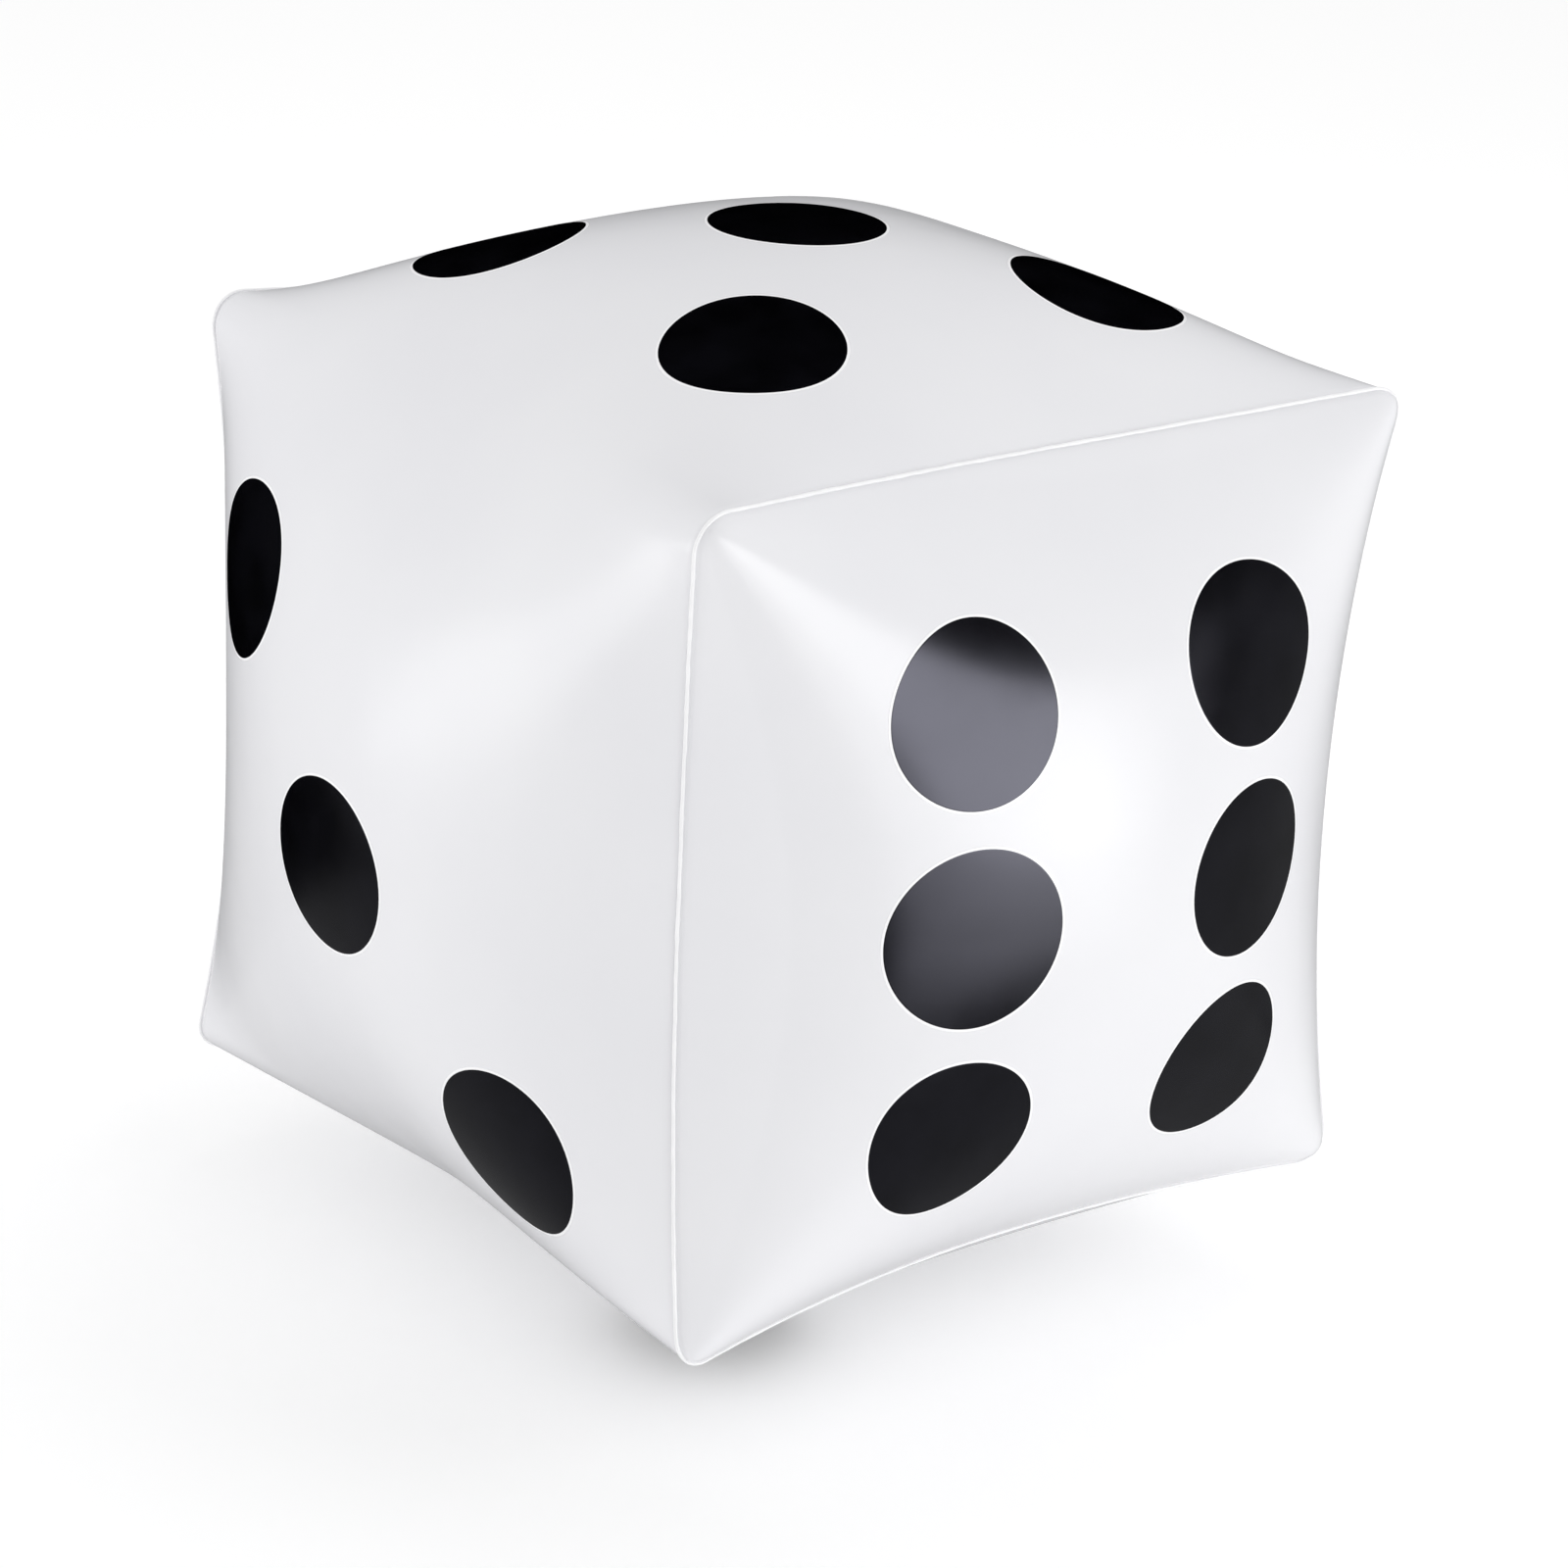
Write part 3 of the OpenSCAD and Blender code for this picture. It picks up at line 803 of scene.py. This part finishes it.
def collar():
    """A soft funnel of film, with the folds it takes when the stem is pushed in."""
    rings, slices = 36, 128
    bm = bmesh.new()
    turn = np.linspace(0, 2 * math.pi, slices + 1)[:-1]
    rows = []
    for t in np.linspace(0, 1, rings):
        radius = COLLAR_NECK + (COLLAR_MOUTH - COLLAR_NECK) * (1 - t) ** 2.2 * (1 + 0.25 * t)
        height = COLLAR_TOP - COLLAR_DEPTH * t**1.35
        lie = np.sin(COLLAR_FOLDS * turn + 2.2 * t + 0.5 * np.sin(2 * turn))
        fold = FOLD_DEPTH * math.sin(math.pi * t) ** 1.5 * lie
        rows.append([
            bm.verts.new(((radius + f) * math.cos(a), (radius + f) * math.sin(a), height))
            for f, a in zip(fold, turn)
        ])
    for row, after in zip(rows, rows[1:]):
        for m in range(slices):
            n = (m + 1) % slices
            bm.faces.new((row[m], after[m], after[n], row[n]))
    bmesh.ops.recalc_face_normals(bm, faces=bm.faces)
    sheet = list(bm.faces)
    bmesh.ops.solidify(bm, geom=sheet, thickness=COLLAR_WALL)
    piece = valve_piece("valve_collar", bm, VALVE_FILM, "envelope")
    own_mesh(piece)


def stem():
    wall = softened([
        (BORE_R, STEM_END, 0.3), (STEM_R, STEM_END, 0.5), (STEM_R, RIM_LOW, 0.15), (RIM_R, RIM_LOW, 0.3),
        (RIM_R, RIM_TOP, 0.35), (BORE_R, RIM_TOP, 0.35),
    ])
    return valve_piece("valve_stem", lathe(wall), VALVE_VINYL, "stem")


def strap_lower_leg():
    solids = bmesh.new()
    add_box(solids, (-STRAP_W / 2, -FOLD_R + 1.7, 0.4), (STRAP_W / 2, -RIM_R + 0.5, RIM_TOP))
    for side in (-1, 1):
        middle = side * (EAR_X + EAR_T / 2)
        add_box(solids, (middle - EAR_T / 2, -FOLD_R, 0.4), (middle + EAR_T / 2, -FOLD_R + 2.2, RIM_TOP))
        add_rod(solids, (middle, -FOLD_R, FOLD_Z), KNUCKLE_R, EAR_T, "X")
    return valve_piece("strap_lower_leg", moulded(solids), VALVE_VINYL, "stem")


def fold_pin():
    pin = bmesh.new()
    add_rod(pin, (0, -FOLD_R, FOLD_Z), PIN_R, STRAP_W + 0.3, "X")
    edges = [e for e in pin.edges if e.calc_face_angle(0) > 1]
    bmesh.ops.bevel(pin, geom=edges, offset=0.2, segments=4, profile=0.6, affect="EDGES")
    return valve_piece("strap_fold_pin", pin, VALVE_VINYL, "stem")


def strap_upper_leg():
    solids, hole = bmesh.new(), bmesh.new()
    add_box(solids, (-STRAP_W / 2, -FOLD_R + 2, 1.4), (STRAP_W / 2, -RIM_R + 0.4, 2.2))
    add_box(solids, (-KNUCKLE_W / 2, -FOLD_R, 1.4), (KNUCKLE_W / 2, -FOLD_R + 3, 2.2))
    add_rod(solids, (0, -FOLD_R, FOLD_Z), KNUCKLE_R, KNUCKLE_W, "X")
    add_rod(hole, (0, -FOLD_R, FOLD_Z), PIN_R + 0.05, STRAP_W, "X")
    return valve_piece("strap_upper_leg", moulded(solids, hole), VALVE_VINYL, "plug")


def plug():
    """A dished cap with a raised lip, over a hollow tapered bung."""
    outer = softened([
        (0, BUNG_END + 3, 0), (2.1, BUNG_END + 3, 0.4), (2.4, BUNG_END, 0.2), (3.2, BUNG_END, 0.4),
        (BORE_R - 0.05, CAP_LOW, 0.1), (RIM_R, CAP_LOW, 0.25), (RIM_R, CAP_TOP, 0.4), (5.9, CAP_TOP, 0.3),
        (5.5, CAP_TOP - 0.35, 0.3), (0, CAP_TOP - 0.35, 0),
    ])
    return valve_piece("valve_plug", lathe(outer), VALVE_VINYL, "plug")


def pull_tab():
    solids = bmesh.new()
    low = CAP_TOP - 0.8
    round_at = TAB_END - TAB_W / 2
    add_box(solids, (-TAB_W / 2, RIM_R - 0.7, low), (TAB_W / 2, round_at, CAP_TOP))
    add_rod(solids, (0, round_at, (low + CAP_TOP) / 2), TAB_W / 2, CAP_TOP - low, "Z")
    for k in range(3):
        add_rod(solids, (0, round_at - 0.4 + 0.95 * k, CAP_TOP - 0.1), 0.32, TAB_W - 2.2 - 0.4 * k, "X")
    return valve_piece("plug_pull_tab", moulded(solids), VALVE_VINYL, "plug")


def check_flap():
    disc = softened([
        (0, FLAP_LOW, 0), (FLAP_R, FLAP_LOW, 0.2), (FLAP_R, FLAP_TOP, 0.2),
        (FLAP_R - 1, FLAP_TOP, 0.2), (FLAP_R - 1.3, FLAP_TOP - 0.12, 0.2), (0, FLAP_TOP - 0.12, 0),
    ])
    return valve_piece("check_flap", lathe(disc), VALVE_FILM, "flap")


flange()
collar()
stem()
strap_lower_leg()
fold_pin()
strap_upper_leg()
plug()
pull_tab()
check_flap()

# ---------------------------------------------------------------- Floor, light and camera

AMBIENT = 0.90
FLOOR_GLOW = 0.16
FLOOR_REACH = 20


def make_surroundings():
    """Even white light from all round, which shows in no reflection."""
    world = bpy.data.worlds.new("studio")
    bpy.context.scene.world = world
    world.use_nodes = True
    background = world.node_tree.nodes["Background"]
    background.inputs["Color"].default_value = (1, 1, 1, 1)
    background.inputs["Strength"].default_value = AMBIENT
    world.cycles_visibility.glossy = False


def make_floor():
    m = Nodes("floor_paper", (0.9, 0.9, 0.9), 0.9, Specular_IOR_Level=0.1)
    m.set("Emission Color", (1, 1, 1, 1))
    m.set("Emission Strength", FLOOR_GLOW)
    mesh = bpy.data.meshes.new("floor")
    far = FLOOR_REACH
    mesh.from_pydata([(-far, -far, 0), (far, -far, 0), (far, far, 0), (-far, far, 0)], [], [(0, 1, 2, 3)])
    mesh.materials.append(m.material)
    floor = bpy.data.objects.new("floor", mesh)
    bpy.context.scene.collection.objects.link(floor)
    floor.visible_glossy = False
    floor.visible_shadow = False


def direction(azimuth, elevation):
    """A unit vector: azimuth 0 is -Y and 90 is +X, both in degrees."""
    a, e = math.radians(azimuth), math.radians(elevation)
    return Vector((math.sin(a) * math.cos(e), -math.cos(a) * math.cos(e), math.sin(e)))


def softbox(name, azimuth, elevation, distance, width, height, brightness, diffuse=True, glossy=True):
    """A lit panel that faces the die; brightness is its radiance."""
    light = bpy.data.lights.new(name, "AREA")
    light.shape = "RECTANGLE"
    light.size, light.size_y = width, height
    light.energy = brightness * math.pi * width * height
    box = bpy.data.objects.new(name, light)
    bpy.context.scene.collection.objects.link(box)
    towards = direction(azimuth, elevation)
    box.location = CENTRE + towards * distance
    box.rotation_euler = towards.to_track_quat("Z", "Y").to_euler()
    box.visible_camera = False
    box.visible_diffuse = diffuse
    box.visible_glossy = glossy
    return box


def lights_only(box, starts):
    """Keeps a gloss box to the pieces whose names start so, as it would burn out faces seen from behind."""
    group = bpy.data.collections.new(box.name + "_receivers")
    for piece in bpy.data.objects:
        if piece.type == "MESH" and piece.name.startswith(starts):
            group.objects.link(piece)
    box.light_linking.receiver_collection = group


FRONT_PIECES = ("front_", "face_6_")
SIDE_PIECES = ("side_band", "face_3_", "face_5_", "front_weld")

make_surroundings()
make_floor()
lights_only(softbox("key_gloss", 16, -5, 6, 5.2, 4.2, 2.7, diffuse=False), FRONT_PIECES)
lights_only(softbox("key_gloss_core", 21, 0, 5.9, 3.6, 3.0, 2.4, diffuse=False), FRONT_PIECES)
lights_only(softbox("side_gloss", -118, -3.5, 6, 3.6, 1.8, 1.8, diffuse=False), SIDE_PIECES)
lights_only(softbox("side_gloss_low", -116, -13, 6, 3.4, 1.4, 0.5, diffuse=False), SIDE_PIECES)
lights_only(softbox("side_gloss_core", -126, -1, 5.8, 2.1, 1.25, 0.4, diffuse=False), SIDE_PIECES)
softbox("right_gloss", 72, -12, 6, 4.8, 3.7, 0.15, diffuse=False)
softbox("ground_gloss", 0, -90, 2.2, 7.6, 7.6, 0.18, diffuse=False)
softbox("key_fill", 35, -25, 3, 2, 2, 2.25, glossy=False)
softbox("front_fill", 50, 25, 3, 2, 2, 0.7, glossy=False)
softbox("low_fill", 30, -55, 3, 2, 2, 0.35, glossy=False)
softbox("side_fill", -125, 0, 3, 2, 2, 1.5, glossy=False)
softbox("top_fill", 110, 65, 3, 2, 2, 0.85, glossy=False)

CAMERA_TURN = (-38.17, 20.80, 2.73)
CAMERA_OFFSET = Vector((-0.00645, 0.03128, -2.5498))
CAMERA_LENS = 96.37
SENSOR_W = 36


def make_camera():
    """Looks at the die from the left front, from above, a little tilted."""
    azimuth, elevation, roll = CAMERA_TURN
    back = direction(azimuth, elevation)
    across = Vector((0, 0, 1)).cross(back).normalized()
    above = back.cross(across)
    level = Matrix((across, above, back)).transposed()
    turn = level @ Matrix.Rotation(math.radians(roll), 3, "Z")
    data = bpy.data.cameras.new("camera")
    data.lens = CAMERA_LENS
    data.sensor_width = SENSOR_W
    camera = bpy.data.objects.new("camera", data)
    bpy.context.scene.collection.objects.link(camera)
    camera.location = CENTRE - turn @ CAMERA_OFFSET
    camera.rotation_euler = turn.to_euler()
    bpy.context.scene.camera = camera


make_camera()
bpy.context.scene.view_settings.view_transform = "Standard"
